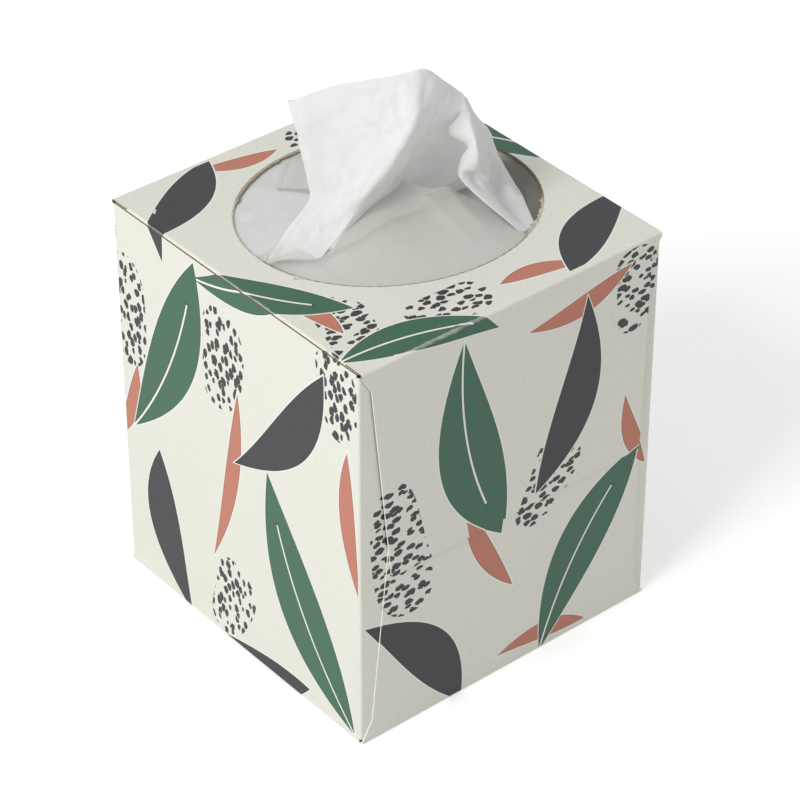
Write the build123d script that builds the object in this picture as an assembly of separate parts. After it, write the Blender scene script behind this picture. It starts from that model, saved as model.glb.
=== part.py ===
"""A cube tissue box, about 110 x 107 x 127.5 mm, with one tissue drawn up.

The carton is one folded sheet of boxboard: a four-panel tube that lies along X, glued
along its top front edge, and closed at each end by two dust flaps and two major flaps.
An oval is torn out of its top panel along a perforated line. A film with a slit is glued
under the oval, the pack of tissues stands bent over below it, and the first tissue of
the pack stands up through the slit.
Millimetres, +Z up, origin at the middle of the base, front panel towards -Y.
"""
import os

from build123d import *

# Carton, outside sizes and board
box_width = 110.0
box_depth = 107.0
box_height = 127.5
board = 0.45
crease_radius = 0.35
crease_tab = 0.4

# Glued seam along the top front edge
raw_edge_drop = 0.7
glue_flap_height = 14.0
glue_flap_setback = 3.0
glue_flap_slant = 5.0

# Major flaps, hinged on the top and bottom panels
major_overlap = 16.7
major_root_inset = 0.4
major_corner_inset = 3.8
major_corner_drop = 6.0
major_front_inset = 10.5
major_back_inset = 4.8
major_tip_radius = 1.5

# Dust flaps, hinged on the front and back panels
dust_length = 44.0
dust_root_inset = 1.2
dust_corner_inset = 4.0
dust_corner_run = 6.0
dust_tip_inset = 16.0
dust_tip_radius = 6.0

# Torn oval opening in the top panel
oval_width = 77.8
oval_length = 88.7
oval_turn = -12.8
oval_offset_x = -2.9
oval_offset_y = 3.6
perforation_pitch = 2.75
nib_base = 0.9
nib_tip = 0.4
nib_height = 0.5
nib_root = 0.3

# Film window glued under the top panel
film = 0.15
film_side_margin = 6.0
film_end_margin = 2.5
film_corner_radius = 4.0
slit_length = 76.0
slit_gape = 10.0
slit_offset_x = 1.0
slit_offset_y = 2.0

# Pack of tissues, bent over like an inverted U
pack_end_clearance = 1.15
pack_side_clearance = 0.8
pack_gap = 8.0
pack_shoulder_radius = 22.0
headspace = 3.4

# Tissue drawn up through the slit, and its part that lies on the pack
ply = 0.5
ply_clearance = 0.4
popup_height = 46.0
popup_reach = 27.0
skirt_end_inset = 8.5
skirt_side_inset = 9.8
skirt_corner_radius = 14.0

overrun = 5.0

# Planes and faces that several pieces share
outer_radius = crease_radius + board
bend_leg = outer_radius + crease_tab
half_width = box_width / 2
half_depth = box_depth / 2
major_length = (box_height + major_overlap) / 2
lower_major_face = half_width - board
dust_face = lower_major_face - board
tube_end = dust_face - outer_radius
seam_face = -half_depth + board
panel_underside = box_height - board
film_width = box_width - 2 * film_side_margin
film_length = box_depth - 2 * film_end_margin
pack_top = panel_underside - film - headspace
pack_width = 2 * (dust_face - board - pack_end_clearance)
pack_depth = 2 * (half_depth - 2 * board - pack_side_clearance)
skirt_width = pack_width - 2 * skirt_end_inset
skirt_length = pack_depth - 2 * skirt_side_inset
slit_centre = Pos(slit_offset_x, slit_offset_y)

# Places of the drawn tissue's points from the slit's middle, row by row going up, and in
# each row from the front layer's free edge round the fold to the end of the back layer.
# In the slit: shares of half the slit's gape and half its length.
slit_row_shares = [
    (0.32, -0.58),
    (0.34, -0.66),
    (-0.10, -0.74),
    (-0.44, -0.37),
    (-0.44, 0.10),
    (-0.06, 0.70),
]
slit_row_height_share = 0.04
# Above it: shares of the tissue's reach, twice, and of its height.
free_row_shares = [
    [
        (0.06, -0.41, 0.27),
        (0.02, -0.78, 0.28),
        (-0.24, -0.93, 0.30),
        (-0.30, -0.37, 0.30),
        (-0.15, 0.30, 0.30),
        (0.26, 1.07, 0.26),
    ],
    [
        (0.21, 0.02, 0.60),
        (-0.04, -0.56, 0.60),
        (-0.43, -0.87, 0.60),
        (-0.41, -0.22, 0.61),
        (-0.15, 0.41, 0.61),
        (0.39, 0.93, 0.53),
    ],
    [
        (0.37, 0.31, 0.88),
        (-0.07, -0.19, 0.96),
        (-0.58, -0.84, 0.84),
        (-0.41, -0.15, 0.91),
        (-0.07, 0.37, 0.93),
        (0.30, 0.63, 0.83),
    ],
]


def creased(*face_corners):
    """A section through creased board, from its outer face's corners, clockwise."""
    face_line = FilletPolyline(*face_corners, radius=outer_radius)
    return make_face(offset(face_line, amount=board, side=Side.RIGHT, closed=True))


def tube():
    """The four panels with their creases and the glued seam."""
    panels = creased(
        (0, box_height),
        (half_depth, box_height),
        (half_depth, 0),
        (-half_depth, 0),
        (-half_depth, box_height - raw_edge_drop),
    )
    seam = creased(
        (seam_face, box_height - bend_leg),
        (seam_face, box_height),
        (0, box_height),
    )
    body = extrude(Plane.YZ * panels, tube_end, both=True)
    body += extrude(Plane.YZ * seam, tube_end, both=True)
    root_half = tube_end - glue_flap_setback
    tip_half = root_half - glue_flap_slant
    outline = Polyline(
        (-root_half, box_height - bend_leg),
        (-tip_half, box_height - glue_flap_height),
        (tip_half, box_height - glue_flap_height),
        (root_half, box_height - bend_leg),
        close=True,
    )
    return body + extrude(Plane.XZ.offset(-seam_face) * make_face(outline), -board)


def major_flap(outer_face):
    """An upper major flap at the +X end, whose outer face lies at X = outer_face."""
    root_half = half_depth - major_root_inset
    bend = creased(
        (tube_end - overrun, box_height),
        (outer_face, box_height),
        (outer_face, box_height - bend_leg),
    )
    root = box_height - bend_leg
    shoulder = root - major_corner_drop
    tip = box_height - major_length
    outline = make_face(
        Polyline(
            (-root_half, root),
            (-half_depth + major_corner_inset, shoulder),
            (-half_depth + major_front_inset, tip),
            (half_depth - major_back_inset, tip),
            (half_depth - major_corner_inset, shoulder),
            (root_half, root),
            close=True,
        )
    )
    outline = fillet(outline.vertices().group_by(Axis.Y)[0], major_tip_radius)
    flap = extrude(Plane.XZ * bend, root_half, both=True)
    return flap + extrude(Plane.YZ.offset(outer_face) * outline, -board)


def dust_flap():
    """The dust flap that the front panel carries at its +X end."""
    low = board + dust_root_inset
    high = panel_underside - dust_root_inset
    bend = creased(
        (dust_face, -half_depth + bend_leg),
        (dust_face, -half_depth),
        (tube_end - overrun, -half_depth),
    )
    root = -half_depth + bend_leg
    shoulder = root + dust_corner_run
    tip = -half_depth + dust_length
    outline = make_face(
        Polyline(
            (root, low),
            (shoulder, low + dust_corner_inset),
            (tip, low + dust_tip_inset),
            (tip, high - dust_tip_inset),
            (shoulder, high - dust_corner_inset),
            (root, high),
            close=True,
        )
    )
    outline = fillet(outline.vertices().group_by(Axis.X)[-1], dust_tip_radius)
    flap = extrude(Plane.XY.offset(low) * bend, high - low)
    return flap + extrude(Plane.YZ.offset(dust_face) * outline, -board)


def end_closure():
    """The +X end: dust flaps inside, the lower major flap, and the upper one outside."""
    mid_height = Plane.XY.offset(box_height / 2)
    dust = dust_flap()
    lower = mirror(major_flap(lower_major_face), about=mid_height)
    return [dust, mirror(dust, about=Plane.XZ), lower, major_flap(half_width)]


def torn_oval():
    """The opening's outline, with the nibs that the torn perforation leaves."""
    whole = Rot(0, 0, oval_turn) * Ellipse(oval_width / 2, oval_length / 2)
    whole = Pos(oval_offset_x, oval_offset_y) * whole
    rim = whole.wire()
    nib = make_face(
        Polyline(
            (-nib_base / 2, -nib_root),
            (nib_base / 2, -nib_root),
            (nib_base / 2, 0),
            (nib_tip / 2, nib_height),
            (-nib_tip / 2, nib_height),
            (-nib_base / 2, 0),
            close=True,
        )
    )
    count = round(rim.length / perforation_pitch)
    nibs = []
    for step in range(count):
        share = step / count
        seat = Plane(rim @ share, x_dir=rim % share, z_dir=(0, 0, 1))
        nibs.append(seat * nib)
    return whole - nibs


def make_carton():
    """One sheet of board, folded and glued."""
    closure = end_closure()
    carton = tube() + closure + [mirror(flap, about=Plane.YZ) for flap in closure]
    hole = extrude(Plane.XY.offset(box_height) * torn_oval(), board + outer_radius, both=True)
    return carton - hole


def make_film():
    """The film with its slit, its upper face glued to the top panel's underside."""
    bow = slit_gape / 2
    slit_half = slit_length / 2
    slit = make_face(
        [
            ThreePointArc((0, -slit_half), (bow, 0), (0, slit_half)),
            ThreePointArc((0, slit_half), (-bow, 0), (0, -slit_half)),
        ]
    )
    sheet = RectangleRounded(film_width, film_length, film_corner_radius)
    return extrude(Plane.XY.offset(panel_underside) * (sheet - slit_centre * slit), -film)


def make_pack():
    """The pack of tissues, bent over and standing on the bottom panel."""
    half = pack_depth / 2
    leg = half - pack_gap / 2
    arch = FilletPolyline(
        (-half, board),
        (-half, pack_top),
        (half, pack_top),
        (half, board),
        radius=pack_shoulder_radius,
    )
    outside = make_face([arch, Line((half, board), (-half, board))])
    slot_height = pack_top - leg - board
    slot = Pos(0, board) * Rectangle(pack_gap, slot_height - pack_gap / 2, align=(Align.CENTER, Align.MIN))
    slot += Pos(0, board + slot_height - pack_gap / 2) * Circle(pack_gap / 2)
    return extrude(Plane.YZ * (outside - slot), pack_width / 2, both=True)


def make_popup():
    """The drawn tissue: two layers joined by a fold, and the part inside the box."""
    skirt_base = pack_top + ply_clearance
    rows = []
    for height in (skirt_base + ply / 2, panel_underside + slit_row_height_share * popup_height):
        rows.append([(x * slit_gape / 2, y * slit_length / 2, height) for x, y in slit_row_shares])
    for row in free_row_shares:
        rows.append(
            [
                (x * popup_reach, y * popup_reach, panel_underside + z * popup_height)
                for x, y, z in row
            ]
        )
    surface = Face.make_surface_from_array_of_points(rows)
    drawn = slit_centre * Solid.thicken(surface, ply)
    skirt = RectangleRounded(skirt_width, skirt_length, skirt_corner_radius)
    return extrude(Plane.XY.offset(skirt_base) * skirt, ply) + drawn


pieces = {
    "carton": make_carton(),
    "window_film": make_film(),
    "tissue_pack": make_pack(),
    "popup_tissue": make_popup(),
}
os.makedirs("parts", exist_ok=True)
for name, piece in pieces.items():
    export_step(piece, f"parts/{name}.step")
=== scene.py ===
"""Looks of a cube tissue box: printed boxboard with a torn oval, a hazy slit film, the
pack below it, and the first tissue drawn up through the slit."""
import math

import bmesh
import bpy
import numpy as np
from mathutils import Matrix, Vector, noise

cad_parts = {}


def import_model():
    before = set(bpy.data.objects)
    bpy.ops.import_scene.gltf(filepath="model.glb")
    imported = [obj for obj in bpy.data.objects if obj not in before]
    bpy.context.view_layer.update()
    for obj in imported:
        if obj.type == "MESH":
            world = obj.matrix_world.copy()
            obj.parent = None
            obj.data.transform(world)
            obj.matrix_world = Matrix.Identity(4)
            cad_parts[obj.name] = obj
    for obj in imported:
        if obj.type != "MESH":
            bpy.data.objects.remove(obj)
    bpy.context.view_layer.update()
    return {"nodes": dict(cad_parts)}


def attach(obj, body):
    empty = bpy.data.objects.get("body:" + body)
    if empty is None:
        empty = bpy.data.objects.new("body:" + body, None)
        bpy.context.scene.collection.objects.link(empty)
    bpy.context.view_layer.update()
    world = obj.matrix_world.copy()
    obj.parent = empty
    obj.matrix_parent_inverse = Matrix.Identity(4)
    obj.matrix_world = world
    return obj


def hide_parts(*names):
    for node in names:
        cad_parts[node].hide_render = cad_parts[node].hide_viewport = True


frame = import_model()
mm = 0.001

# Sizes of the box, in mm, as the solids have them
half_width, half_depth, box_height = 55.0, 53.5, 127.5
board = 0.45
tube_end = 53.3
film_level = box_height - board
film_half_width, film_half_depth = 49, 51
oval_centre, oval_half, oval_turn = (-2.9, 3.6), (38.9, 44.35), -12.8

# The pack of tissues, in mm. It has slumped, so its shoulders are rounder than the solid's.
pack_half_width, pack_half, pack_foot, pack_top = 52.3, 51.8, 0.6, film_level - 4.1
front_shoulder, back_shoulder = 20.0, 32.0

# The photograph's camera: its place in mm, its angles in degrees, and lengths in pixels
camera_place = Vector((598.56, -492.29, 627.84))
camera_turn, camera_rise, camera_roll = (math.radians(a) for a in (50.254, 36.021, 0.090))
focal_pixels, frame_pixels = 3338.19, 800


def camera_axes():
    """The camera's right, up and backward directions, as the columns of a matrix."""
    level_back = Vector((math.sin(camera_turn), -math.cos(camera_turn), 0))
    back = level_back * math.cos(camera_rise) + Vector((0, 0, math.sin(camera_rise)))
    right = Vector((math.cos(camera_turn), math.sin(camera_turn), 0))
    return Matrix((right, back.cross(right), back)).transposed() @ Matrix.Rotation(camera_roll, 3, "Z")


def sight(px, py):
    """The direction in which the camera sees a pixel of the photograph."""
    half = frame_pixels / 2
    return (camera_axes() @ Vector((px - half, half - py, -focal_pixels))).normalized()


def before(px, py, nearer):
    """The place seen at a pixel, as x, y and height above the film in mm. It lies so many mm
    nearer than the upright plane through the oval's middle that faces the camera."""
    line = sight(px, py)
    facing = Vector((math.sin(camera_turn), -math.cos(camera_turn), 0))
    middle = Vector((*oval_centre, box_height))
    away = (middle - camera_place).dot(facing) / line.dot(facing)
    place = camera_place + (away - nearer) * line
    return place.x, place.y, place.z - film_level


def level(px, py, height):
    """The place seen at a pixel, at a height in mm above the film."""
    line = sight(px, py)
    place = camera_place + line * ((film_level + height - camera_place.z) / line.z)
    return place.x, place.y, height


# Materials
def linear(code):
    """An sRGB hex colour as linear RGBA."""
    parts = [int(code[i : i + 2], 16) / 255 for i in (1, 3, 5)]
    return [c / 12.92 if c <= 0.04045 else ((c + 0.055) / 1.055) ** 2.4 for c in parts] + [1.0]


def add(tree, kind, inputs=None, **settings):
    """Adds a node with its settings, and sets or links its inputs."""
    node = tree.nodes.new("ShaderNode" + kind)
    for key, value in settings.items():
        setattr(node, key, value)
    for key, value in (inputs or {}).items():
        if isinstance(value, bpy.types.NodeSocket):
            tree.links.new(value, node.inputs[key])
        else:
            node.inputs[key].default_value = value
    return node


def material(name):
    """An empty node material and its tree."""
    made = bpy.data.materials.new(name)
    made.use_nodes = True
    made.node_tree.nodes.clear()
    return made, made.node_tree


def maths(tree, operation, *values):
    """The result of one arithmetic step."""
    node = add(tree, "Math", dict(enumerate(values)), operation=operation)
    return node.outputs[0]


def mixed(tree, share, under, over, blend="MIX"):
    """One colour laid over another."""
    inputs = {"Factor": share, 6: under, 7: over}
    return add(tree, "Mix", inputs, data_type="RGBA", blend_type=blend).outputs[2]


# Ink motifs on the flat blank, in mm. The blank is laid out round the top panel: u runs
# along the box and down its end, v across the top and down the front panel. Each row is
# place, turn, half length, half width, bend, taper, and 1 for a pale rib.
rib_half_width, rib_end_share = 0.34, 0.6
green_leaves = [
    ((-29, -94), 66, 40, 9.5, 0.5, 0.2, 1),
    ((27, -147), 118, 40, 10.5, -0.6, -0.2, 1),
    ((8, -52), 28, 27, 6.5, 0.7, 0.3, 1),
    ((50, -29), 74, 25, 6.5, -0.6, -0.25, 1),
    ((97, -16), 12, 37, 10.5, 0.55, 0.25, 1),
    ((152, 27), 148, 34, 9.5, -0.5, 0.2, 1),
    ((-20, -205), 20, 38, 9.5, 0.5, 0.2, 1),
    ((20, -262), 150, 38, 9.5, -0.5, 0.2, 1),
]
charcoal_pods = [
    ((24, -92), 52, 33, 7.0, 0.9, 0.25, 0),
    ((-36, -158), 104, 27, 7.5, -0.7, 0.2, 0),
    ((-40, -40), 118, 24, 6.5, 0.5, 0.3, 0),
    ((96, 24), 164, 31, 7.5, 0.9, -0.25, 0),
    ((160, -30), 38, 28, 7.5, -0.7, 0.2, 0),
    ((6, -184), 8, 26, 6.5, 0.7, 0.2, 0),
    ((-30, -250), 80, 28, 7, 0.7, 0.2, 0),
]
terracotta_slips = [
    ((-3, -122), 78, 33, 3.0, 0.9, 0.2, 0),
    ((49, -106), 96, 24, 3.2, -0.8, 0.2, 0),
    ((-50, -122), 70, 17, 2.8, 0.8, 0.2, 0),
    ((24, -45), 12, 13, 2.8, -0.9, 0.2, 0),
    ((-47, -15), 76, 13, 2.8, 0.8, 0.2, 0),
    ((67, 24), 100, 19, 3.4, 0.9, 0.2, 0),
    ((133, -10), 24, 23, 3.2, 0.9, 0.2, 0),
    ((176, 14), 84, 17, 3.0, -0.8, 0.2, 0),
    ((120, 45), 20, 15, 3.0, 0.8, 0.2, 0),
    ((38, -215), 60, 22, 3.0, 0.8, 0.2, 0),
]
speckled_pebbles = [
    ((-5, -82), 84, 17, 9.0, 0.2, 0.1, 0),
    ((-4, -166), 70, 15, 8.5, 0.2, 0.2, 0),
    ((46, -66), 100, 14, 8.0, 0.2, 0.1, 0),
    ((-49, -88), 92, 19, 8.0, 0.1, 0.1, 0),
    ((120, -40), 10, 24, 9.0, 0.2, 0.2, 0),
    ((122, 14), 152, 15, 8.5, 0.2, 0.2, 0),
    ((70, 45), 178, 14, 8.0, 0.2, 0.2, 0),
    ((36, -42), 160, 15, 7.5, 0.2, 0.1, 0),
    ((45, -15), 84, 13, 7.0, 0.2, 0.1, 0),
    ((-16, -230), 20, 24, 8.0, 0.2, 0.1, 0),
]


def motif(tree, blank, row, pointed=True):
    """How far a point of the blank lies outside one bent leaf or pebble, in mm."""
    (u, v), turn, half_length, half_breadth, bend, taper, rib = row
    placing = {
        "Vector": blank,
        "Location": (u, v, 0),
        "Rotation": (0, 0, math.radians(turn)),
        "Scale": (half_length, half_breadth, 1),
    }
    local = add(tree, "Mapping", placing, vector_type="TEXTURE").outputs[0]
    axes = add(tree, "SeparateXYZ", {0: local}).outputs
    along2 = maths(tree, "MULTIPLY", axes[0], axes[0])
    bowed = maths(tree, "MULTIPLY_ADD", along2, -bend, axes[1])
    side = maths(tree, "ABSOLUTE", bowed)
    breadth = maths(tree, "MAXIMUM", maths(tree, "MULTIPLY_ADD", axes[0], taper, 1.0), 0.2)
    across = maths(tree, "DIVIDE", side, breadth)
    if pointed:
        reach = maths(tree, "ADD", across, along2)
        outside = maths(tree, "MULTIPLY_ADD", reach, half_breadth, -half_breadth)
    else:
        across2 = maths(tree, "MULTIPLY", across, across)
        reach = maths(tree, "MULTIPLY_ADD", along2, along2, across2)
        outside = maths(tree, "MULTIPLY_ADD", reach, half_breadth / 2, -half_breadth / 2)
    if rib:
        slit = maths(tree, "MULTIPLY_ADD", side, -half_breadth, rib_half_width)
        end = maths(tree, "MULTIPLY_ADD", axes[0], -half_breadth, rib_end_share * half_breadth)
        outside = maths(tree, "MAXIMUM", outside, maths(tree, "MINIMUM", slit, end))
    return outside


def nearest(tree, blank, rows, pointed=True):
    """How far a point lies outside the nearest motif of one ink, in mm."""
    found = None
    for row in rows:
        outside = motif(tree, blank, row, pointed)
        found = outside if found is None else maths(tree, "MINIMUM", found, outside)
    return found


def printed_board():
    """Clay-coated folding boxboard, offset printed: flat inks with a pale gap round each
    motif and a darker line where they are trapped, on a faintly mottled cream ground."""
    made, tree = material("offset_printed_boxboard")
    place = add(tree, "UVMap", uv_map="blank").outputs[0]
    blank = add(tree, "VectorMath", {0: place, "Scale": 1000.0}, operation="SCALE").outputs[0]
    colour = linear("#DCDCD1")
    # Cloudy paper, in spots of about 1 mm
    mottle = add(tree, "TexNoise", {"Vector": blank, "Scale": 0.8, "Detail": 6.0, "Roughness": 0.75})
    tone = add(tree, "MapRange", {0: mottle.outputs[0], 1: 0.3, 2: 0.7, 3: 0.945, 4: 1.045})

    outside = nearest(tree, blank, speckled_pebbles, pointed=False)
    wobble = add(tree, "TexNoise", {"Vector": blank, "Scale": 0.45, "Detail": 1.0})
    shifted = add(tree, "VectorMath", {0: wobble.outputs[1], "Scale": 1.5}, operation="SCALE")
    chips_at = add(tree, "VectorMath", {0: blank, 1: shifted.outputs[0]}, operation="ADD").outputs[0]
    squeezed = add(tree, "Mapping", {"Vector": chips_at, "Rotation": (0, 0, 0.9), "Scale": (1, 0.62, 1)})
    # Flecks of 1.5 to 3 mm
    cells = {"Vector": squeezed.outputs[0], "Scale": 0.42, "Randomness": 0.85}
    chips = add(tree, "TexVoronoi", cells, voronoi_dimensions="2D")
    random_share = add(tree, "SeparateColor", {0: chips.outputs["Color"]}).outputs[0]
    limit = maths(tree, "MULTIPLY_ADD", random_share, 0.22, 0.24)
    chip = maths(tree, "LESS_THAN", chips.outputs["Distance"], limit)
    inside = maths(tree, "LESS_THAN", outside, 0.0)
    colour = mixed(tree, maths(tree, "MULTIPLY", chip, inside), colour, linear("#2F2F32"))

    # Round each motif, in mm: a pale gap outside it and a dark line inside its edge
    pale_gap, trap_width = 0.42, 0.2
    inks = (
        (terracotta_slips, "#B97560", "#8A4B3E"),
        (charcoal_pods, "#2F3034", "#262223"),
        (green_leaves, "#346049", "#27392D"),
    )
    for rows, ink, trap in inks:
        outside = nearest(tree, blank, rows)
        for limit, tint in ((pale_gap, "#E4E5DE"), (0.0, trap), (-trap_width, ink)):
            share = maths(tree, "LESS_THAN", outside, limit)
            colour = mixed(tree, share, colour, linear(tint))
    colour = mixed(tree, 1.0, colour, tone.outputs[0], "MULTIPLY")

    # Ink and clay crack along the creases, where the pale board shows through
    axes = add(tree, "SeparateXYZ", {0: blank}).outputs
    from_middle = maths(tree, "ABSOLUTE", axes[0])
    from_side = maths(tree, "ABSOLUTE", maths(tree, "SUBTRACT", from_middle, half_width))
    from_front = maths(tree, "ABSOLUTE", maths(tree, "ADD", axes[1], half_depth))
    from_crease = maths(tree, "MINIMUM", from_side, from_front)
    rub = add(tree, "TexNoise", {"Vector": blank, "Scale": 0.35, "Detail": 6.0, "Roughness": 0.7})
    fading = maths(tree, "MULTIPLY", from_crease, -0.75)
    wear = maths(tree, "MULTIPLY_ADD", rub.outputs[0], 1.5, fading)
    worn = add(tree, "MapRange", {0: wear, 1: 0.25, 2: 0.75, 3: 0.0, 4: 0.42})
    colour = mixed(tree, worn.outputs[0], colour, linear("#E9E6DE"))

    # Fibres under the clay coat, of about 0.6 mm
    fibre = add(tree, "TexNoise", {"Vector": blank, "Scale": 1.6, "Detail": 4.0, "Roughness": 0.6})
    relief = add(tree, "Bump", {"Strength": 0.12, "Distance": 0.00012, "Height": fibre.outputs[0]})
    sheen = add(tree, "MapRange", {0: mottle.outputs[0], 1: 0.3, 2: 0.7, 3: 0.44, 4: 0.56})
    shader = add(
        tree,
        "BsdfPrincipled",
        {"Base Color": colour, "Roughness": sheen.outputs[0], "IOR": 1.42, "Normal": relief.outputs[0]},
    )
    add(tree, "OutputMaterial", {0: shader.outputs[0]})
    return made


def raw_board(name, dark, light):
    """Recycled board core: fibrous and matt, streaked along its plies. Torn, it is tan; a die cut
    is paler, because the clay coat smears over it, and the copy for the flap edges is lighter
    still as painted highlight. An attribute takes it from tan to the coat's colour above zero,
    and below zero to a dark brown: painted shade where the wall lies in shadow."""
    made, tree = material(name)
    place = add(tree, "TexCoord").outputs["Object"]
    # Fibres of about 0.8 mm, in plies of 0.2 mm
    streaks = add(tree, "Mapping", {"Vector": place, "Scale": (1200, 1200, 5000)}).outputs[0]
    ply = add(tree, "TexNoise", {"Vector": streaks, "Scale": 1.0, "Detail": 6.0, "Roughness": 0.7})
    ramp = add(tree, "ValToRGB", {0: ply.outputs[0]})
    for element, position, code in zip(ramp.color_ramp.elements, (0.3, 0.72), (dark, light)):
        element.position, element.color = position, linear(code)
    coat_or_painted_shade = add(tree, "Attribute", attribute_name="coat_or_painted_shade").outputs["Fac"]
    # Painted shade: below zero the attribute darkens the core to a dark brown, where the wall lies in
    # shadow
    shade = maths(tree, "MULTIPLY", coat_or_painted_shade, -1.0)
    colour = mixed(tree, shade, ramp.outputs[0], linear("#3E2C1E"))
    colour = mixed(tree, coat_or_painted_shade, colour, linear("#DAD6CB"))
    relief = add(tree, "Bump", {"Strength": 0.5, "Distance": 0.0002, "Height": ply.outputs[0]})
    shader = add(
        tree,
        "BsdfPrincipled",
        {"Base Color": colour, "Roughness": 0.9, "IOR": 1.45, "Normal": relief.outputs[0]},
    )
    add(tree, "OutputMaterial", {0: shader.outputs[0]})
    return made


def tissue_paper():
    """Creped two-ply tissue: white, matt, finely crinkled, and it lets light through."""
    made, tree = material("creped_two_ply_tissue")
    place = add(tree, "UVMap", uv_map="sheet").outputs[0]
    sheet_mm = add(tree, "VectorMath", {0: place, "Scale": 1000.0}, operation="SCALE").outputs[0]
    # Crepe ridges of about 0.3 mm, drawn twice as coarse so that they show
    crepe_at = add(tree, "Mapping", {"Vector": sheet_mm, "Scale": (0.9, 2.6, 1)}).outputs[0]
    crepe = add(tree, "TexNoise", {"Vector": crepe_at, "Scale": 0.7, "Detail": 4.0, "Roughness": 0.6})
    # Thinner and thicker places of about 6 mm
    cloud = add(tree, "TexNoise", {"Vector": sheet_mm, "Scale": 0.16, "Detail": 5.0, "Roughness": 0.6})
    tone = add(tree, "MapRange", {0: cloud.outputs[0], 1: 0.3, 2: 0.7, 3: 0.0, 4: 1.0})
    colour = mixed(tree, tone.outputs[0], linear("#EEEFEE"), linear("#F6F6F5"))
    height = maths(tree, "MULTIPLY_ADD", cloud.outputs[0], 1.5, crepe.outputs[0])
    relief = add(tree, "Bump", {"Strength": 0.35, "Distance": 0.00025, "Height": height})
    matt = {"Base Color": colour, "Roughness": 0.85, "IOR": 1.4, "Sheen Weight": 0.1}
    face = add(tree, "BsdfPrincipled", {**matt, "Normal": relief.outputs[0]})
    through = add(tree, "BsdfTranslucent", {"Color": colour, "Normal": relief.outputs[0]})
    both = add(tree, "MixShader", {0: 0.26, 1: face.outputs[0], 2: through.outputs[0]})
    add(tree, "OutputMaterial", {0: both.outputs[0]})
    return made


def slit_film():
    """Blown polyethylene film: milky, soft and slightly glossy. The attribute "haze" says
    how much it hides, which is least where tissue lies against it; over the gap behind the
    tissue it is lowered as painted shade, so that the film reads darker there."""
    made, tree = material("hazy_polyethylene_film")
    place = add(tree, "TexCoord").outputs["Object"]
    # Ripples of about 11 mm
    ripple = add(tree, "TexNoise", {"Vector": place, "Scale": 90.0, "Detail": 3.0, "Roughness": 0.5})
    relief = add(tree, "Bump", {"Strength": 0.25, "Distance": 0.0006, "Height": ripple.outputs[0]})
    tone = mixed(tree, ripple.outputs[0], linear("#D3D5CB"), linear("#DBDDD4"))
    haze = add(tree, "Attribute", attribute_name="haze").outputs["Fac"]
    shader = add(
        tree,
        "BsdfPrincipled",
        {"Base Color": tone, "Roughness": 0.32, "IOR": 1.5, "Alpha": haze, "Normal": relief.outputs[0]},
    )
    add(tree, "OutputMaterial", {0: shader.outputs[0]})
    return made


board_face = printed_board()
# Bare board: a darker brown than the torn fibres, partly the core's colour and partly painted shade for
# the oval's wall, which lies in shadow
board_core_painted_shade = raw_board("recycled_board_core_painted_shade", "#54412F", "#8C745F")
board_fibres = raw_board("torn_board_fibres", "#6E5642", "#BFA88F")
# Flap edges: pale where the clay coat smears over the cut, and near white as painted highlight for the
# light their edges catch
board_cut_painted_highlight = raw_board("die_cut_board_painted_highlight", "#E4DDD2", "#FBF9F5")
tissue, film = tissue_paper(), slit_film()


# Pieces
def piece(name, bm, materials, replaces=None):
    """A finished mesh object that rides on the box."""
    mesh = bpy.data.meshes.new(name)
    bm.to_mesh(mesh)
    bm.free()
    made = bpy.data.objects.new(name, mesh)
    bpy.context.scene.collection.objects.link(made)
    for one in materials:
        mesh.materials.append(one)
    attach(made, "root")
    if replaces:
        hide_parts(replaces)
    return made


def pull_back_nibs(bm):
    """Pulls the perforation's nibs back to a fifth, since the torn core has its own."""
    standing, near_rim, rim_depth = 0.2, 0.97, 1
    for vert in bm.verts:
        out = Vector((vert.co.x / mm - oval_centre[0], vert.co.y / mm - oval_centre[1]))
        turned = Matrix.Rotation(-math.radians(oval_turn), 2) @ out
        share = math.hypot(turned.x / oval_half[0], turned.y / oval_half[1])
        if vert.co.z / mm > box_height - rim_depth and near_rim < share < 1:
            out *= (1 - standing + standing * share) / share
            vert.co.x, vert.co.y = (oval_centre[0] + out.x) * mm, (oval_centre[1] + out.y) * mm


def printed_skin(bm):
    """The faces of the blank's outer side: those that join the top panel round soft bends."""
    start = max(bm.faces, key=lambda face: (round(face.calc_center_median().z, 5), face.calc_area()))
    skin, front = {start}, [start]
    while front:
        face = front.pop()
        for edge in face.edges:
            for other in edge.link_faces:
                if other not in skin and face.normal.dot(other.normal) > 0.8:
                    skin.add(other)
                    front.append(other)
    return skin


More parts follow.
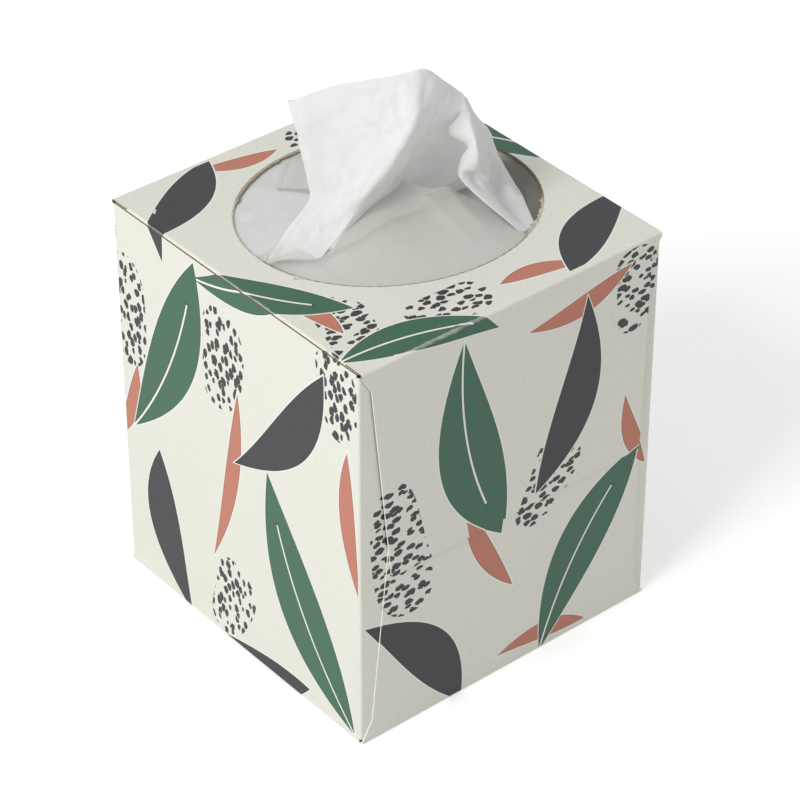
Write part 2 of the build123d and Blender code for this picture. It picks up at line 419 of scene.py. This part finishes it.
def printed_carton():
    """The folded blank: its outer skin is printed and everything else is bare board. Each
    face is laid out on the flat blank, where the motifs are."""
    bm = bmesh.new()
    bm.from_mesh(frame["nodes"]["carton"].data)
    bmesh.ops.remove_doubles(bm, verts=bm.verts, dist=1e-6)
    everything = bm.verts[:] + bm.edges[:] + bm.faces[:]
    bmesh.ops.bisect_plane(bm, geom=everything, plane_co=(0, 0, 0), plane_no=(0, 1, 0), dist=1e-7)
    pull_back_nibs(bm)
    bm.normal_update()
    skin = printed_skin(bm)
    bend_depth, sharp_angle, outermost = 1.5, 30, half_width - 0.2
    blank = bm.loops.layers.uv.new("blank")
    for face in bm.faces:
        middle = face.calc_center_median() / mm
        on_end = abs(middle.x) > tube_end
        # The flap edges get the die-cut copy, whose near white is partly painted highlight
        flap_edge = on_end and middle.z < box_height - bend_depth and abs(face.normal.x) < 0.5
        face.material_index = 0 if face in skin else 2 if flap_edge else 1
        face.smooth = True
        for loop in face.loops:
            x, y, z = loop.vert.co / mm
            drop = box_height - z
            if on_end:
                # The print on the flaps below is out of register by the board's thickness
                slip = board if abs(middle.x) < outermost else 0.0
                u, v = math.copysign(abs(x) + drop + slip, x), y + slip
                turned = x < 0
            elif face.normal.z < -0.7:
                u, v, turned = x, -2 * half_depth - drop - y, False
            else:
                u, v = x, y + math.copysign(drop, middle.y)
                turned = middle.y > 0
            loop[blank].uv = (-u * mm, -v * mm) if turned else (u * mm, v * mm)
    for edge in bm.edges:
        edge.smooth = edge.calc_face_angle(0) < math.radians(sharp_angle)
    return piece("printed_carton", bm, [board_face, board_core_painted_shade, board_cut_painted_highlight], "carton")


# How the oval tore, by angle round it: from, to, width of the torn core in mm, height of the
# perforation's nibs in mm, how fuzzy the fibres are, and how far the clay coat covers them.
# Below zero the core is painted darker instead: painted shade where the rim's wall lies in shadow.
tear_zones = [
    (-122, -78, 0.42, 0.0, 0.05, 1.0),
    (-78, 38, 0.46, 0.22, 0.2, -0.1),
    (38, 67, 0.85, 0.7, 1.7, 0.5),
    (66, 172, 0.5, 0.0, 0.15, -0.4),
    (172, 238, 1.05, 0.05, 0.3, 0.25),
]
# Places where the tear has run out over the print: angle, width along the rim and reach, in mm
tear_chips = [
    (-77.5, 1.0, 0.9),
    (-58.1, 1.3, 1.3),
    (-56.0, 0.7, 0.6),
    (-119.0, 0.7, 0.7),
    (57.0, 1.2, 0.5),
    (48.0, 0.9, 0.5),
]


def tear_state(angle):
    """Width, nib height, fuzz, and the clay coat's share or painted shade of the torn core at an
    angle, blended from zone to zone over a few degrees."""
    blend = 3
    state = (0.0, 0.0, 0.0, 0.0)
    for start, stop, *values in tear_zones:
        within, span = (angle - start) % 360, stop - start
        share = smooth_step(min(within, span - within), -blend, blend) if within < span + blend else 0
        share = max(share, smooth_step(within - 360, -blend, blend) if within > 360 - blend else 0)
        state = [old + share * new for old, new in zip(state, values)]
    return state


def torn_rim():
    """The board's torn core round the oval: fibres just under the print, widest along the back
    of the left side, fuzzy at the right end, and narrow between them. Along the front and the far
    right its core is painted darker, as painted shade."""
    turn = math.radians(oval_turn)
    steps, nibs = 1440, 95
    rim_radius, under_print, core_floor = 42, 0.4, -0.36
    angles = np.degrees(np.linspace(0, 2 * math.pi, steps, endpoint=False))
    bm = bmesh.new()
    coat_or_painted_shade = bm.verts.layers.float.new("coat_or_painted_shade")
    rings = []
    for angle in angles:
        bare, nib_height, fuzz, cover_or_painted_shade = tear_state(angle)
        a = math.radians(angle)
        around = Vector((math.cos(a), math.sin(a), 0))
        ragged = noise.fractal(around * 26 + Vector((0, 0, 2)), 1.0, 2.0, 3)
        fibre = noise.noise(around * 170 + Vector((0, 0, 5)))
        step = angle / 360 * nibs
        lean = 0.55 + 0.45 * noise.noise(Vector((round(step) * 1.7, 0.5, 0)))
        nib = max(0.0, 1 - abs(step - round(step)) * 4.5) * lean
        reach = max(0.03, bare * (1 + 0.45 * ragged) + nib_height * nib + fuzz * 0.3 * fibre)
        over = under_print
        for chip_angle, width, chip_reach in tear_chips:
            away = math.radians((angle - chip_angle + 180) % 360 - 180) * rim_radius / width
            over = max(over, chip_reach * (1 - away**2) * (1 + 0.4 * fibre))
        chipped = over > under_print
        x, y = oval_half[0] * math.cos(a), oval_half[1] * math.sin(a)
        outward = Vector((math.cos(a) / oval_half[0], math.sin(a) / oval_half[1])).normalized()
        curl = 0.12 * fuzz * (1 + fibre)
        # The core's section: how far outside the oval, and how far above the print
        section = (
            (over, 0.04 if chipped else -0.1),
            (-0.4 * reach, -0.04),
            (-reach, curl - 0.13),
            (-0.8 * reach, -0.3),
            (under_print, core_floor),
        )
        ring = []
        for out, height in section:
            px, py = x + out * outward.x, y + out * outward.y
            place = (
                oval_centre[0] + px * math.cos(turn) - py * math.sin(turn),
                oval_centre[1] + px * math.sin(turn) + py * math.cos(turn),
                box_height + height,
            )
            ring.append(bm.verts.new(Vector(place) * mm))
            # Above zero the clay coat's colour, below zero painted shade
            ring[-1][coat_or_painted_shade] = min(1.0, cover_or_painted_shade + 0.5 * chipped)
        rings.append(ring)
    for here, there in zip(rings, rings[1:] + rings[:1]):
        for j in range(len(here)):
            k = (j + 1) % len(here)
            bm.faces.new((here[j], there[j], there[k], here[k]))
    bmesh.ops.recalc_face_normals(bm, faces=bm.faces)
    for face in bm.faces:
        face.smooth = True
    return piece("torn_rim", bm, [board_fibres], None)


def curve_through(points, steps):
    """Points on a smooth line through the given ones (centripetal Catmull-Rom), so many
    steps from each to the next."""
    points = np.asarray(points, float)
    ends = [2 * points[0] - points[1], *points, 2 * points[-1] - points[-2]]
    gaps = np.linalg.norm(np.diff(ends, axis=0), axis=1) ** 0.5 + 1e-6
    knots = np.concatenate([[0], np.cumsum(gaps)])
    made = []
    for i in range(1, len(points)):
        p, k = ends[i - 1 : i + 3], knots[i - 1 : i + 3]
        for t in k[1] + (k[2] - k[1]) * np.arange(steps) / steps:
            a = [(p[j] * (k[j + 1] - t) + p[j + 1] * (t - k[j])) / (k[j + 1] - k[j]) for j in range(3)]
            b = [(a[j] * (k[j + 2] - t) + a[j + 1] * (t - k[j])) / (k[j + 2] - k[j]) for j in range(2)]
            made.append((b[0] * (k[2] - t) + b[1] * (t - k[1])) / (k[2] - k[1]))
    made.append(points[-1])
    return np.array(made)


def surface_through(columns, across, down):
    """A grid of points through columns of control points, with so many steps from each
    column to the next and from each point of a column to the one below."""
    lines = np.array([curve_through(column, down) for column in columns])
    return np.array([curve_through(lines[:, row], across) for row in range(lines.shape[1])])


def grid_faces(bm, points, skip=None):
    """Joins a grid of points (rows, columns, 3), in mm, into faces."""
    rows, columns = points.shape[:2]
    verts = [[bm.verts.new(Vector(p) * mm) for p in row] for row in points]
    for i in range(rows - 1):
        for j in range(columns - 1):
            if skip is None or not skip(i, j):
                bm.faces.new((verts[i][j], verts[i + 1][j], verts[i + 1][j + 1], verts[i][j + 1]))
    return verts


def seen(*points):
    """The places of several points that the photograph shows, each given as for before()."""
    return [before(*point) for point in points]


# Drawn tissue: eight control points down each column, from the back layer's free side round
# the left fold, over the crest and the hollow, and along the folded strip to the right
# silhouette. What the photograph shows is placed by its pixels, the rest in mm.
drawn_columns = [
    [
        (-1, 13, 35), (-2.4, 12.5, 30), (-3, 11, 25), (-3.2, 9, 19),
        (-3, 6, 13.5), (-3, 3, 8.5), (-3.2, 1, 4), (-3, 1, -0.6),
    ],
    [
        (-8, -1.5, 37), (-8.8, -3, 31.5), (-8.8, -4.5, 26), (-8, -6.5, 20),
        (-7, -9, 14.5), (-6.2, -13, 9.5), (-5.4, -16, 4.5), (-4.8, -18, -0.6),
    ],
    [
        *seen((287.5, 100.8, 3.6), (295.5, 128, 4.9), (302, 155, 6.6), (307.2, 180, 8.6)),
        *seen((310.3, 197, 10.4), (296, 218, 15), (281, 240, 20.4)),
        level(270.5, 254.6, 0.1),
    ],
    [
        *seen((291.5, 101, 4.8), (297, 128, 6.1), (303, 155, 7.7), (308, 180, 9.6)),
        *seen((311, 197, 11.4), (297, 218, 15.8), (282, 240, 21.2)),
        level(272, 256, 0.2),
    ],
    [
        *seen((295, 99.5, 5.3), (300.5, 127, 6.7), (306, 154.5, 8.2), (311, 180, 10)),
        *seen((315, 198, 11.9), (302, 219, 16.2), (288, 241, 21.8)),
        level(280, 258.4, -0.5),
    ],
    [
        *seen((330, 86.8, 7), (332, 115, 8.4), (335, 145, 9.8), (334.5, 172, 11.4)),
        *seen((332, 196, 13), (322, 217, 16.6), (308, 238, 21.4)),
        level(297, 260, -0.5),
    ],
    [
        *seen((365, 80.2, 9), (364, 108, 10.6), (361, 136, 12.4), (356, 163, 14)),
        *seen((348, 188, 15.2), (336, 210, 17.4), (321, 233, 20.6)),
        level(311, 260, -0.4),
    ],
    [
        *seen((398, 75, 10.8), (396, 103, 12.6), (389, 130, 14.6), (378, 156, 16.4)),
        *seen((365, 181, 17.6), (350, 205, 19), (334, 230, 20.6)),
        level(321, 258, -0.1),
    ],
    [
        *seen((415, 70.3, 10.6), (416, 93, 12.4), (415.5, 117, 15.2), (405.5, 142, 17.8)),
        *seen((389, 169, 18.8), (371.5, 192, 19.2), (352.5, 218, 20)),
        level(328, 251, 0.5),
    ],
    [
        *seen((425, 68.9, 9.6), (425.5, 94, 11), (422, 118, 13.4), (411, 143, 15.6)),
        *seen((395, 169.5, 16.6), (377.5, 193, 17.2), (358, 218, 18.4)),
        level(333, 248, 1.2),
    ],
    [
        *seen((434, 72.6, 7.6), (434, 95, 8.8), (429, 119, 8.4), (418.5, 143, 7.8)),
        *seen((403.5, 167, 8.8), (388, 188, 10.2), (368.5, 210, 13.4)),
        level(342, 238, 2),
    ],
    [
        *seen((443, 79.5, 4.8), (442, 97, 5.8), (435, 119, 4), (423, 142, 1.2)),
        *seen((408, 163, 0.6), (399, 177, 2.4)),
        (2, 4, 6), (1.5, 2, -1),
    ],
    [
        *seen((450, 84, 2.6), (449, 99, 3.4), (443, 119, 0.6), (431, 140, -1.8)),
        *seen((419, 160, -2.4), (413, 178, -1.6)),
        (4, 14, 3.5), (2, 12, -1),
    ],
    [
        *seen((456, 88, 0.2), (456, 101, 0.8), (452, 119, -0.6), (447, 139, -4.6)),
        *seen((440, 160, -6), (437, 180, -5), (443, 187, -4), (446, 190, -6)),
    ],
    [
        *seen((461, 91.5, -1.8), (463, 104, -0.4), (458, 124, -2), (470, 143, -5)),
        *seen((465, 158, -7), (463, 168, -7), (466, 176, -8.5), (470, 183, -10)),
    ],
    [
        *seen((462.5, 92.6, -2), (466, 106, -0.4), (448.5, 132, 2), (467, 146, 3.6)),
        *seen((461.5, 158, 4.2), (458.4, 170, 4.8), (461.2, 179.2, 6)),
        level(521, 232.5, -0.3),
    ],
    [
        *seen((464, 93.8, -2.6), (469, 108, -1.2), (471, 128, 4.4), (475, 141, 7.2)),
        *seen((477.5, 157, 8.6), (475.8, 169, 7.8), (477.5, 178, 2.8)),
        level(523, 232, -0.4),
    ],
    [
        *seen((466, 96, -3.4), (471.5, 108, -3), (477, 124, -1.8), (483, 141, 1)),
        *seen((486, 158, 1), (488, 174, -0.4), (494, 190, -1.6)),
        level(528.5, 229.5, -0.4),
    ],
    [
        *seen((467.7, 97.9, -4.6), (472.5, 109, -5), (482, 121.5, -7), (490, 133, -9)),
        *seen((496.5, 151, -10), (506, 169.5, -9.8), (520, 191, -7.4)),
        level(534, 221.5, -0.4),
    ],
    [
        (5, 23, 31), (5.4, 25, 27), (5.6, 26.6, 22.5), (5.6, 28, 18),
        (5.6, 29, 13.5), (6, 30, 8.5), (8, 30, 4), (10, 29.5, 0.4),
    ],
]
# How crumpled the tissue is at each of those columns
crumple_shares = [
    0.7, 0.7, 0.5, 0.25, 0.25, 0.3, 0.4, 0.5, 0.45, 0.4,
    0.35, 0.45, 0.45, 0.4, 0.35, 0.2, 0.25, 0.5, 0.45, 0.8,
]

# Its creases: the pixels and nearness of both ends, height and width in mm
sharp_creases = [
    ((300, 209, 15), (378, 187, 18), -0.6, 0.8),
    ((312, 120, 6.5), (384, 83, 8.5), 0.35, 1.2),
    ((352, 118, 11), (398, 140, 16), -0.5, 1.0),
    ((392, 112, 13), (404, 138, 17), 0.5, 0.7),
    ((330, 150, 10), (362, 214, 18), 0.3, 1.6),
    ((386, 96, 12.2), (397, 124, 15), 0.5, 0.8),
    ((397, 90, 12.4), (410, 110, 15.6), -0.45, 0.7),
    ((370, 90, 9.6), (385, 114, 12.6), -0.35, 0.9),
    ((404, 84, 12), (413, 96, 13.8), 0.35, 0.6),
    ((317, 216, 17.4), (325, 250, 22), 0.55, 0.7),
    ((322, 228, 18.6), (333, 239, 21.6), -0.5, 0.6),
    ((306, 178, 10.4), (322, 192, 12.4), -0.35, 0.7),
    ((484, 150, 2), (490, 206, -1), 1.5, 1.5),
    ((492, 150, -2), (505, 208, -3.5), -1.7, 1.7),
    ((501, 166, -6), (517, 208, -5), 1.2, 1.5),
    ((474, 172, 5), (482, 196, 2.5), -0.9, 1.2),
    ((436, 112, 4), (467, 109, -2), 0.5, 0.8),
    ((447, 126, 1.5), (472, 126, 1), 0.45, 0.7),
    ((408, 170, 0.5), (428, 150, -3.5), 0.35, 0.9),
]
placed_creases = [
    (Vector(before(*start)), Vector(before(*stop)), rise, width)
    for start, stop, rise, width in sharp_creases
]


def creased(point):
    """How far the tissue stands up along its creases, in mm. Each runs on a little beyond
    its ends and fades there."""
    run_on = 0.2
    height = 0.0
    here = point / mm - Vector((0, 0, film_level))
    for start, stop, rise, width in placed_creases:
        share = (here - start).dot(stop - start) / (stop - start).length_squared
        away = (here - start.lerp(stop, min(1.0, max(0.0, share)))).length / width
        if away < 4 and -run_on < share < 1 + run_on:
            fade = math.sin(math.pi * (share + run_on) / (1 + 2 * run_on)) ** 0.5
            height += rise * math.exp(-(away**1.5)) * fade
    return height


def crumpled(point):
    """How far the tissue is pushed off its smooth form, in mm: soft swells of 15 mm, flat
    facets of 9 mm between small sharp creases, and fine crinkles of 4 mm."""
    soft = noise.fractal(point / 0.015, 1.0, 2.0, 2)
    near, far = noise.voronoi(point / 0.009)[0][:2]
    crease = min(far - near, 0.4) / 0.4
    fine = noise.fractal(point / 0.004, 1.0, 2.0, 2)
    return 0.9 * soft + 0.7 * (crease - 0.6) + 0.2 * fine


def film_contact(x, y):
    """How nearly the tissue under the film touches it, from 0 to 1: two loose folds lie
    against it on the left, the second a little lower."""
    first = smooth_step(0.66 * (x + 32.4) - 0.75 * (y + 15.5), -0.4, 0.5)
    second = 0.86 * smooth_step(-0.78 * (x + 37.1) - 0.63 * (y + 6.4) + 1.0, -0.4, 0.5)
    return max(first, second) * smooth_step(-x, 3, 9)


def smooth_step(value, low, high):
    """A share from 0 to 1 that rises smoothly as the value goes from low to high."""
    share = min(1.0, max(0.0, (value - low) / (high - low)))
    return share * share * (3 - 2 * share)


def shoulder_drop(y, layer):
    """How far the pack's shoulders have fallen at a place along Y, in mm. The topmost layer
    bridges the front one."""
    back = max(0.0, y - (pack_half - back_shoulder))
    front = 0.0 if layer > -2 else max(0.0, -y - (pack_half - front_shoulder))
    shoulders = ((back_shoulder, back), (front_shoulder, front))
    return sum(radius - math.sqrt(radius**2 - over**2) for radius, over in shoulders)


def drawn_tissue():
    """The first tissue. Above the film it follows the control columns; below it both
    layers run out over the pack, fold over at the left end and run back under themselves."""
    free = surface_through(drawn_columns, 12, 16)
    down, across = free.shape[:2]
    free[:, :, 2] += film_level
    bm = bmesh.new()
    sheet = bm.loops.layers.uv.new("sheet")
    place = {}
    verts = grid_faces(bm, free)
    bm.normal_update()
    # Size of the free part laid flat, and of one row of the hidden part, in mm
    free_width, free_height, row_height = 206, 52, 1.4
    widths = np.linspace(0, free_width, across)
    heights = np.linspace(0, free_height, down)
    shares = np.interp(np.linspace(0, 1, across), np.linspace(0, 1, len(crumple_shares)), crumple_shares)
    held_rows = 24
    moves = {}
    for i, row in enumerate(verts):
        for j, vert in enumerate(row):
            place[vert] = (widths[j], heights[i])
            held = min(1, (down - 1 - i) / held_rows) * shares[j]
            moves[vert] = vert.normal * ((crumpled(vert.co) * held + creased(vert.co)) * mm)
    for vert, move in moves.items():
        vert.co += move

    # Inside the box: from the slit to the left end of the pack, back to the right end and
    # once more under. Only the columns up to the strip at the right take part. The first
    # fifth of them is the layer below the rest, joined to it by a fold along the front.
    last = int(across * 0.70)
    leave = free[-1, :last].copy()
    share = np.linspace(0, 1, last)
    fold = 0.2
    reach = film_half_width
    out, back = 2 * reach * share / fold, 2 * reach * (share - fold) / (1 - fold)
    side = np.where(share < fold, reach - out, -reach + back)
    upper = np.where(share < fold, -0.15, 0.15)
    # X, spread over the pack's depth, height above the film, how far the row is laid flat,
    # and which way up the two layers lie (0 at a turn)
    stations = [
        (-1.0, 0.35, -0.9, 0.3, 0),
        (-7.0, 0.75, -1.7, 1.0, 1),
        (-20.0, 0.96, -1.7, 1.0, 1),
        (-33.0, 1.0, -1.7, 1.0, 1),
        (-46.0, 1.0, -1.8, 1.0, 1),
        (-47.4, 1.0, -2.3, 1.0, 0),
        (-46.0, 1.0, -2.7, 1.0, -1),
        (0.0, 1.0, -2.8, 1.0, -1),
        (47.0, 1.0, -2.8, 1.0, -1),
        (48.2, 1.0, -3.1, 1.0, 0),
        (47.0, 1.0, -3.45, 1.0, 1),
        (12.0, 1.0, -3.5, 1.0, 1),
    ]
    controls = [leave]
    for x, spread, low, flat, turned in stations:
        row = np.empty_like(leave)
        row[:, 0] = (1 - flat) * leave[:, 0] + flat * x
        row[:, 1] = (1 - spread) * leave[:, 1] + spread * side
        drop = np.array([shoulder_drop(y, low) for y in row[:, 1]])
        row[:, 2] = film_level + low + upper * turned - flat * drop
        controls.append(row)
    hidden = [curve_through([control[j] for control in controls], 9) for j in range(last)]
    hidden = np.array(hidden).transpose(1, 0, 2)
    # The topmost layer is lifted against the film where the two touch
    topmost_rows, top_lift, under_lift = 46, 1.25, 1.15
    for row in hidden[:topmost_rows]:
        for point, on_top in zip(row, share >= fold):
            point[2] += film_contact(point[0], point[1]) * (top_lift if on_top else under_lift)
    hidden_verts = grid_faces(bm, hidden)
    for i, row in enumerate(hidden_verts):
        for j, vert in enumerate(row):
            place[vert] = (widths[j], free_height + i * row_height)
    bmesh.ops.remove_doubles(bm, verts=verts[-1][:last] + hidden_verts[0], dist=1e-7)
    for face in bm.faces:
        face.smooth = True
        for loop in face.loops:
            if loop.vert in place:
                loop[sheet].uv = Vector(place[loop.vert]) * mm
    made = piece("drawn_tissue", bm, [tissue], "popup_tissue")
    return made


# Slit film: the near lip of the slit by its pixels and height above the film, and the far
# lip as x, y and height in mm
near_lip = [
    level(*point)
    for point in (
        (263.5, 261.5, 0), (273, 256, 0.5), (284, 250.5, 1.2), (295, 247.5, 1.6), (306, 251, 1.4),
        (318, 257.5, 1.1), (329, 250.5, 1.8), (341, 237, 3.2), (353, 221.5, 5.2), (368, 205, 7.4),
        (384, 188, 9), (396, 179.5, 9.8), (407, 180.5, 9.8), (419, 185, 9.3), (434, 188, 8.6),
        (447, 187, 8.2), (456, 191, 6.8), (467, 197, 5.2), (487, 207, 2.9), (507, 221.5, 0.9),
        (524, 232, 0),
    )
]
slit_front, slit_back = near_lip[0][:2], near_lip[-1][:2]
far_lip = [
    (*slit_front, 0), (-6.5, -30, 0.2), (-7.8, -20, 0.8), (-8.0, -8, 1.4), (-6.5, 2, 2.0), (-3, 10, 2.2),
    (2.5, 16.4, 1.8), (9.5, 20.4, 1.1), (18.5, 22.8, 0.4), (*slit_back, 0),
]


def rim_reach(y, side):
    """X of the oval's rim at a place along Y, on its right (1) or left (-1) side, in mm."""
    turn = math.radians(oval_turn)
    a, b = oval_half
    c, s = math.cos(turn), math.sin(turn)
    dy = y - oval_centre[1]
    qa = (c / a) ** 2 + (s / b) ** 2
    qb = 2 * dy * c * s * (1 / a**2 - 1 / b**2)
    qc = dy**2 * ((s / a) ** 2 + (c / b) ** 2) - 1
    root = qb**2 - 4 * qa * qc
    if root <= 0:
        return None
    return oval_centre[0] + (-qb + side * math.sqrt(root)) / (2 * qa)


def film_ripple(x, y):
    """Slack in the film, in mm: slow swells, and pleats that fan out from the slit's front
    end and are weaker on its left."""
    ripple = 0.42 * noise.fractal(Vector((x / 18, y / 26, 4.0)), 1.0, 2.0, 3)
    away = math.hypot(x - slit_front[0], y - slit_front[1])
    turn = math.atan2(y - slit_front[1], x - slit_front[0])
    pleat = noise.noise(Vector((3.0 * math.cos(turn), 3.0 * math.sin(turn), 1.0)))
    pleat *= 0.35 if turn > 1.4 or turn < -1.6 else 0.8
    return ripple + pleat * min(1.0, away / 6) * math.exp(-((away / 14) ** 2))


# A taut pleat of the film runs from the near lip to the tissue: its ends as X, Y and height
# above the film, the way across it, its half width and its sag, in mm
pleat_start, pleat_stop = Vector((9.6, 6.7, 8.6)), Vector((13.7, 15.9, 11.7))
pleat_across, pleat_ridge = Vector((0.5, -0.25, 0.55)).normalized(), Vector((0.1, -0.1, 0.25))
pleat_half, pleat_taper, pleat_sag = 0.6, 0.55, 1.0

# How much the film hides, and how much less it does over touching tissue, at the slit's front
# end, and over the gap at the back, where it is made clearer as painted shade so that it reads dark
film_haze, pleat_haze = 0.64, 0.8
over_tissue, over_front_end, over_gap_painted_shade = 0.57, 0.2, 0.42


def window_film_sheet():
    """The film: two halves that meet along the slit's line and part at the slit, where the
    drawn tissue has lifted both lips."""
    bm = bmesh.new()
    under_panel, columns = 0.12, 64
    haze = bm.verts.layers.float.new("haze")
    for side, lip in ((1, near_lip), (-1, far_lip)):
        points = curve_through(lip, 9 if side > 0 else 20)
        front_places = np.linspace(-film_half_depth, slit_front[1] - 1, 12)
        back_places = np.linspace(slit_back[1] + 1, film_half_depth, 20)
        front_line = [(slit_front[0], y, 0) for y in front_places]
        back_line = [(slit_back[0], y, 0) for y in back_places]
        rows = []
        for x, y, lift in [*front_line, *points, *back_line]:
            reach = rim_reach(y, side)
            row = []
            for share in np.linspace(0, 1, columns) ** 1.2:
                px = x + (side * film_half_width - x) * share
                height = 0.0
                if reach is not None and (reach - x) * side > 0:
                    left = max(0.0, 1 - (px - x) / (reach - x))
                    height = max(0.0, lift) * left**1.25 + film_ripple(px, y) * min(1.0, 5 * left)
                row.append((px, y, film_level - under_panel + height))
            rows.append(row)
        for row in grid_faces(bm, np.array(rows)):
            for vert in row:
                x, y = vert.co.x / mm, vert.co.y / mm
                end = math.exp(-((math.hypot(x - 1, y + 34) / 7) ** 2))
                # Painted shade: the film is clearer over the gap behind the tissue, so that it reads
                # darker there
                gap_painted_shade = smooth_step(y, 15, 22) * smooth_step(x, -8, 2) * (side < 0 or y > slit_back[1])
                clear = over_tissue * film_contact(x, y) if side < 0 else over_front_end * end
                vert[haze] = film_haze - max(clear, over_gap_painted_shade * gap_painted_shade)
    pleat = []
    for share in np.linspace(0, 1, 12):
        sag = Vector((0, 0, pleat_sag * share * (1 - share)))
        middle = pleat_start.lerp(pleat_stop, share) - sag
        edge = pleat_across * (pleat_half * (1 - pleat_taper * share))
        pleat.append([middle - edge, middle + pleat_ridge, middle + edge])
    pleat = np.array(pleat)
    pleat[:, :, 2] += film_level
    for row in grid_faces(bm, pleat):
        for vert in row:
            vert[haze] = pleat_haze
    bmesh.ops.remove_doubles(bm, verts=bm.verts, dist=2e-6)
    bmesh.ops.recalc_face_normals(bm, faces=bm.faces)
    for face in bm.faces:
        face.smooth = True
    made = piece("window_film_sheet", bm, [film], "window_film")
    return made


def folded_pack():
    """The pack: an inverted U of folded tissues, of which only the outside is made. Its back
    shoulder has slumped furthest, and its top swells in waves of about 17 mm."""
    half, top = pack_half, pack_top
    front, back = front_shoulder, back_shoulder
    quarter = np.linspace(0, math.pi / 2, 14)
    outline = [(-half, pack_foot)]
    outline += [(-half + front - front * math.cos(a), top - front + front * math.sin(a)) for a in quarter]
    outline += [(y, top) for y in np.linspace(-half + front, half - back, 24)[1:-1]]
    outline += [(half - back + back * math.sin(a), top - back + back * math.cos(a)) for a in quarter]
    outline += [(half, pack_foot)]
    stations = np.linspace(-pack_half_width, pack_half_width, 40)
    rows = [[(x, y, z) for y, z in outline] for x in stations]
    bm = bmesh.new()
    sheet = bm.loops.layers.uv.new("sheet")
    verts = grid_faces(bm, np.array(rows))
    bmesh.ops.recalc_face_normals(bm, faces=bm.faces)
    bmesh.ops.holes_fill(bm, edges=[e for e in bm.edges if e.is_boundary], sides=0)
    for row in verts:
        for vert in row:
            if vert.co.z > (top - 0.5) * mm:
                vert.co.z += 0.35 * mm * noise.fractal(vert.co * 60, 1.0, 2.0, 2)
    bm.normal_update()
    for face in bm.faces:
        face.smooth = len(face.verts) == 4
        for loop in face.loops:
            loop[sheet].uv = (loop.vert.co.x, loop.vert.co.y + loop.vert.co.z)
    return piece("folded_pack", bm, [tissue], "tissue_pack")


printed_carton()
torn_rim()
window_film_sheet()
folded_pack()
drawn_tissue()


# Stage, light and camera
# Brightness of the room as it lights the box, and as the camera and reflections see it, and
# the table's own glow for the camera, which keeps the floor white round its shadow
room_light, room_seen, table_glow = 0.53, 1.0, 0.34
# Soft lights, in metres and watts: place, width and power. Both point at one place in the box.
soft_lights = {
    "key_softbox": ((0.17, -1.475, 1.25), 0.8, 21.0),
    "top_softbox": ((-0.5, -0.1, 1.9), 1.2, 2.0),
}
lit_point = Vector((0, 0, 0.08))


def stage():
    """A white table with a soft shadow, and plain studio light from the front panel's side."""
    made, tree = material("white_table")
    ray = add(tree, "LightPath")
    shown = maths(tree, "MAXIMUM", ray.outputs["Is Camera Ray"], ray.outputs["Is Glossy Ray"])
    face = add(tree, "BsdfDiffuse", {"Color": linear("#F2F2F2")})
    strength = maths(tree, "MULTIPLY", shown, table_glow)
    glow = add(tree, "Emission", {"Color": (1, 1, 1, 1), "Strength": strength})
    both = add(tree, "AddShader", {0: face.outputs[0], 1: glow.outputs[0]})
    add(tree, "OutputMaterial", {0: both.outputs[0]})
    bm = bmesh.new()
    bmesh.ops.create_circle(bm, cap_ends=True, radius=4.0, segments=96)
    mesh = bpy.data.meshes.new("table")
    bm.to_mesh(mesh)
    bm.free()
    mesh.materials.append(made)
    table = bpy.data.objects.new("table", mesh)
    bpy.context.scene.collection.objects.link(table)

    world = bpy.data.worlds.new("studio")
    bpy.context.scene.world = world
    world.use_nodes = True
    tree = world.node_tree
    tree.nodes.clear()
    ray = add(tree, "LightPath")
    shown = maths(tree, "MAXIMUM", ray.outputs["Is Camera Ray"], ray.outputs["Is Glossy Ray"])
    strength = add(tree, "MapRange", {0: shown, 3: room_light, 4: room_seen}).outputs[0]
    room = add(tree, "Background", {0: (1, 1, 1, 1), 1: strength})
    add(tree, "OutputWorld", {0: room.outputs[0]})

    for name, (place, size, power) in soft_lights.items():
        lamp = bpy.data.lights.new(name, "AREA")
        lamp.shape, lamp.size, lamp.energy = "SQUARE", size, power
        made = bpy.data.objects.new(name, lamp)
        made.location = place
        made.rotation_mode = "QUATERNION"
        made.rotation_quaternion = (lit_point - Vector(place)).to_track_quat("-Z", "Y")
        bpy.context.scene.collection.objects.link(made)


def camera():
    """The photograph's camera: a long lens, from the right and above."""
    data = bpy.data.cameras.new("camera")
    sensor_width = 36.0
    data.sensor_width, data.lens = sensor_width, sensor_width * focal_pixels / frame_pixels
    data.clip_start, data.clip_end = 0.05, 20
    made = bpy.data.objects.new("camera", data)
    made.matrix_world = Matrix.Translation(camera_place * mm) @ camera_axes().to_4x4()
    bpy.context.scene.collection.objects.link(made)
    bpy.context.scene.camera = made


stage()
camera()
bpy.context.scene.view_settings.view_transform = "Standard"
